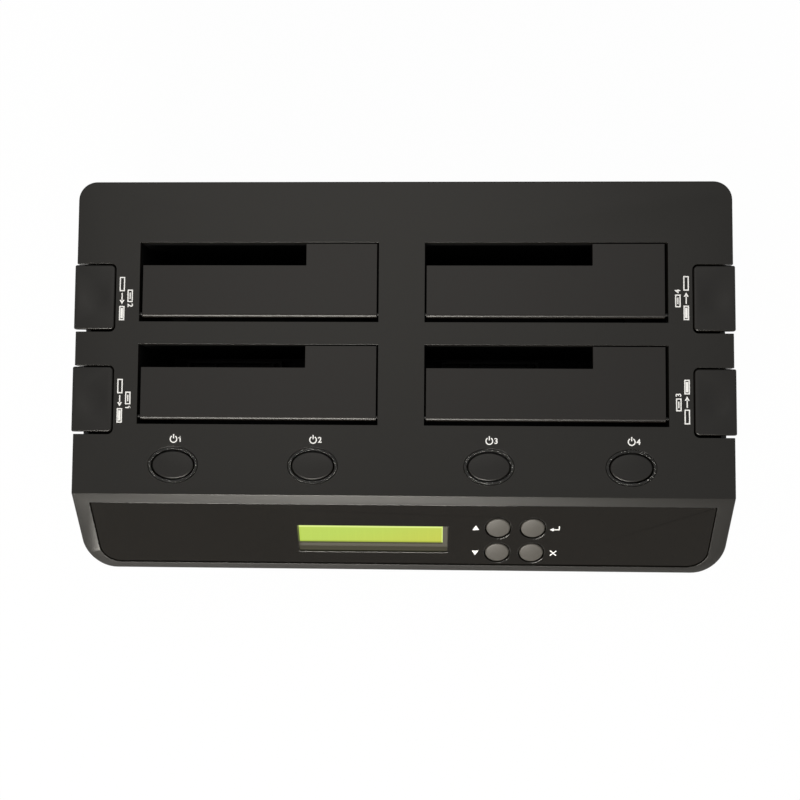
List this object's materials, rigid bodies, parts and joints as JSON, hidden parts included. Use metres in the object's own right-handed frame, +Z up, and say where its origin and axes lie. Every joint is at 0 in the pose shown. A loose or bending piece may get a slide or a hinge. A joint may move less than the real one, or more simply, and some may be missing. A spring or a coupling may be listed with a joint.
{
  "type": "drive duplicator",
  "caption": "Low desktop dock that copies drives, with flap-door bays in its deck, eject buttons at the sides and a sloped control panel with a display.",
  "frame": {"origin": "middle of the footprint, at the bottom of the feet", "axes": "+Z up, -Y towards the sloped control panel, +X to the right of someone facing the panel"},
  "size_m": [0.2828, 0.1684, 0.0781],
  "materials": {
    "case_plastic": "fine-textured moulded black",
    "gloss_panel": "polished black",
    "clear_ring": "smoky clear",
    "circuit_board": "solder mask",
    "key_plastic": "satin grey",
    "bezel_metal": "blackened",
    "display_glass": "backlit yellow-green",
    "black_nylon": "satin",
    "guide_plastic": "satin",
    "lever_plastic": "satin",
    "port_steel": "plated",
    "foot_rubber": "matte",
    "plain_steel": "zinc plated"
  },
  "bodies": {
    "housing": {"board_screws": "plain_steel", "bottom_housing": "case_plastic", "case_screws": "plain_steel", "dc_jack": "black_nylon", "display_bezel": "bezel_metal", "display_board": "circuit_board", "display_glass": "display_glass", "door_hinge_pins": "plain_steel", "door_springs": "plain_steel", "drive_guide_left_front": "guide_plastic", "drive_guide_left_rear": "guide_plastic", "drive_guide_right_front": "guide_plastic", "drive_guide_right_rear": "guide_plastic", "drive_socket_left_front": "black_nylon", "drive_socket_left_rear": "black_nylon", "drive_socket_right_front": "black_nylon", "drive_socket_right_rear": "black_nylon", "eject_lever_pins": "plain_steel", "eject_springs": "plain_steel", "esata_port": "port_steel", "fan_frame_left": "black_nylon", "fan_frame_right": "black_nylon", "fan_screws": "plain_steel", "front_panel": "gloss_panel", "main_board": "circuit_board", "menu_key_board": "circuit_board", "power_ring_1": "clear_ring", "power_ring_2": "clear_ring", "power_ring_3": "clear_ring", "power_ring_4": "clear_ring", "power_switch_board": "circuit_board", "rocker_frame": "black_nylon", "rubber_feet": "foot_rubber", "top_housing": "case_plastic", "usb_port": "port_steel"},
    "door_left_front": {"door_left_front": "case_plastic"},
    "door_left_rear": {"door_left_rear": "case_plastic"},
    "door_right_front": {"door_right_front": "case_plastic"},
    "door_right_rear": {"door_right_rear": "case_plastic"},
    "eject_button_left_front": {"eject_button_left_front": "case_plastic"},
    "eject_button_left_rear": {"eject_button_left_rear": "case_plastic"},
    "eject_button_right_front": {"eject_button_right_front": "case_plastic"},
    "eject_button_right_rear": {"eject_button_right_rear": "case_plastic"},
    "eject_lever_left_front": {"eject_lever_left_front": "lever_plastic"},
    "eject_lever_left_rear": {"eject_lever_left_rear": "lever_plastic"},
    "eject_lever_right_front": {"eject_lever_right_front": "lever_plastic"},
    "eject_lever_right_rear": {"eject_lever_right_rear": "lever_plastic"},
    "power_button_1": {"power_button_1": "case_plastic"},
    "power_button_2": {"power_button_2": "case_plastic"},
    "power_button_3": {"power_button_3": "case_plastic"},
    "power_button_4": {"power_button_4": "case_plastic"},
    "menu_key_up": {"menu_key_up": "key_plastic"},
    "menu_key_enter": {"menu_key_enter": "key_plastic"},
    "menu_key_down": {"menu_key_down": "key_plastic"},
    "menu_key_escape": {"menu_key_escape": "key_plastic"},
    "fan_rotor_left": {"fan_rotor_left": "black_nylon"},
    "fan_rotor_right": {"fan_rotor_right": "black_nylon"},
    "power_rocker": {"power_rocker": "black_nylon"}
  },
  "joints": [
    {"name": "door_hinge_left_front", "type": "hinge", "parent": "housing", "child": "door_left_front", "pos_m": [-0.06145, -0.0173, 0.0763], "axis": [-1, 0, 0], "range_deg": [0, 88], "stiffness_Nm_per_rad": 0.004, "springref_deg": -45.84},
    {"name": "door_hinge_left_rear", "type": "hinge", "parent": "housing", "child": "door_left_rear", "pos_m": [-0.06145, 0.0268, 0.0763], "axis": [-1, 0, 0], "range_deg": [0, 88], "stiffness_Nm_per_rad": 0.004, "springref_deg": -45.84},
    {"name": "door_hinge_right_front", "type": "hinge", "parent": "housing", "child": "door_right_front", "pos_m": [0.06145, -0.0173, 0.0763], "axis": [-1, 0, 0], "range_deg": [0, 88], "stiffness_Nm_per_rad": 0.004, "springref_deg": -45.84},
    {"name": "door_hinge_right_rear", "type": "hinge", "parent": "housing", "child": "door_right_rear", "pos_m": [0.06145, 0.0268, 0.0763], "axis": [-1, 0, 0], "range_deg": [0, 88], "stiffness_Nm_per_rad": 0.004, "springref_deg": -45.84},
    {"name": "eject_slide_left_front", "type": "slide", "parent": "housing", "child": "eject_button_left_front", "axis": [0, 0, -1], "range_m": [0, 0.005], "stiffness_N_per_m": 100, "springref_m": -0.01},
    {"name": "eject_slide_left_rear", "type": "slide", "parent": "housing", "child": "eject_button_left_rear", "axis": [0, 0, -1], "range_m": [0, 0.005], "stiffness_N_per_m": 100, "springref_m": -0.01},
    {"name": "eject_slide_right_front", "type": "slide", "parent": "housing", "child": "eject_button_right_front", "axis": [0, 0, -1], "range_m": [0, 0.005], "stiffness_N_per_m": 100, "springref_m": -0.01},
    {"name": "eject_slide_right_rear", "type": "slide", "parent": "housing", "child": "eject_button_right_rear", "axis": [0, 0, -1], "range_m": [0, 0.005], "stiffness_N_per_m": 100, "springref_m": -0.01},
    {"name": "eject_rock_left_front", "type": "hinge", "parent": "housing", "child": "eject_lever_left_front", "pos_m": [-0.1216, -0.0103, 0.021], "axis": [0, -1, 0], "range_deg": [0, 23.89], "deforming": ["eject_springs"]},
    {"name": "eject_rock_left_rear", "type": "hinge", "parent": "housing", "child": "eject_lever_left_rear", "pos_m": [-0.1216, 0.0338, 0.021], "axis": [0, -1, 0], "range_deg": [0, 23.89], "deforming": ["eject_springs"]},
    {"name": "eject_rock_right_front", "type": "hinge", "parent": "housing", "child": "eject_lever_right_front", "pos_m": [0.1216, -0.0103, 0.021], "axis": [0, 1, 0], "range_deg": [0, 23.89], "deforming": ["eject_springs"]},
    {"name": "eject_rock_right_rear", "type": "hinge", "parent": "housing", "child": "eject_lever_right_rear", "pos_m": [0.1216, 0.0338, 0.021], "axis": [0, 1, 0], "range_deg": [0, 23.89], "deforming": ["eject_springs"]},
    {"name": "power_press_1", "type": "slide", "parent": "housing", "child": "power_button_1", "axis": [0, 0, -1], "range_m": [0, 0.0008], "stiffness_N_per_m": 60, "springref_m": -0.008},
    {"name": "power_press_2", "type": "slide", "parent": "housing", "child": "power_button_2", "axis": [0, 0, -1], "range_m": [0, 0.0008], "stiffness_N_per_m": 60, "springref_m": -0.008},
    {"name": "power_press_3", "type": "slide", "parent": "housing", "child": "power_button_3", "axis": [0, 0, -1], "range_m": [0, 0.0008], "stiffness_N_per_m": 60, "springref_m": -0.008},
    {"name": "power_press_4", "type": "slide", "parent": "housing", "child": "power_button_4", "axis": [0, 0, -1], "range_m": [0, 0.0008], "stiffness_N_per_m": 60, "springref_m": -0.008},
    {"name": "menu_press_up", "type": "slide", "parent": "housing", "child": "menu_key_up", "axis": [0, 0.6018, -0.7986], "range_m": [0, 0.0008], "stiffness_N_per_m": 40, "springref_m": -0.01},
    {"name": "menu_press_enter", "type": "slide", "parent": "housing", "child": "menu_key_enter", "axis": [0, 0.6018, -0.7986], "range_m": [0, 0.0008], "stiffness_N_per_m": 40, "springref_m": -0.01},
    {"name": "menu_press_down", "type": "slide", "parent": "housing", "child": "menu_key_down", "axis": [0, 0.6018, -0.7986], "range_m": [0, 0.0008], "stiffness_N_per_m": 40, "springref_m": -0.01},
    {"name": "menu_press_escape", "type": "slide", "parent": "housing", "child": "menu_key_escape", "axis": [0, 0.6018, -0.7986], "range_m": [0, 0.0008], "stiffness_N_per_m": 40, "springref_m": -0.01},
    {"name": "fan_spin_left", "type": "hinge", "parent": "housing", "child": "fan_rotor_left", "pos_m": [-0.062, 0.0768, 0.0535], "axis": [0, 1, 0], "continuous": true},
    {"name": "fan_spin_right", "type": "hinge", "parent": "housing", "child": "fan_rotor_right", "pos_m": [0.062, 0.0768, 0.0535], "axis": [0, 1, 0], "continuous": true},
    {"name": "power_rock", "type": "hinge", "parent": "housing", "child": "power_rocker", "pos_m": [0.121, 0.0782, 0.0175], "axis": [0, 0, -1], "range_deg": [0, 16]}
  ],
  "couplings": [
    {"joint": "eject_rock_left_front", "follows": "eject_slide_left_front", "rad_per_m": 83.333},
    {"joint": "eject_rock_left_rear", "follows": "eject_slide_left_rear", "rad_per_m": 83.333},
    {"joint": "eject_rock_right_front", "follows": "eject_slide_right_front", "rad_per_m": 83.333},
    {"joint": "eject_rock_right_rear", "follows": "eject_slide_right_rear", "rad_per_m": 83.333}
  ]
}
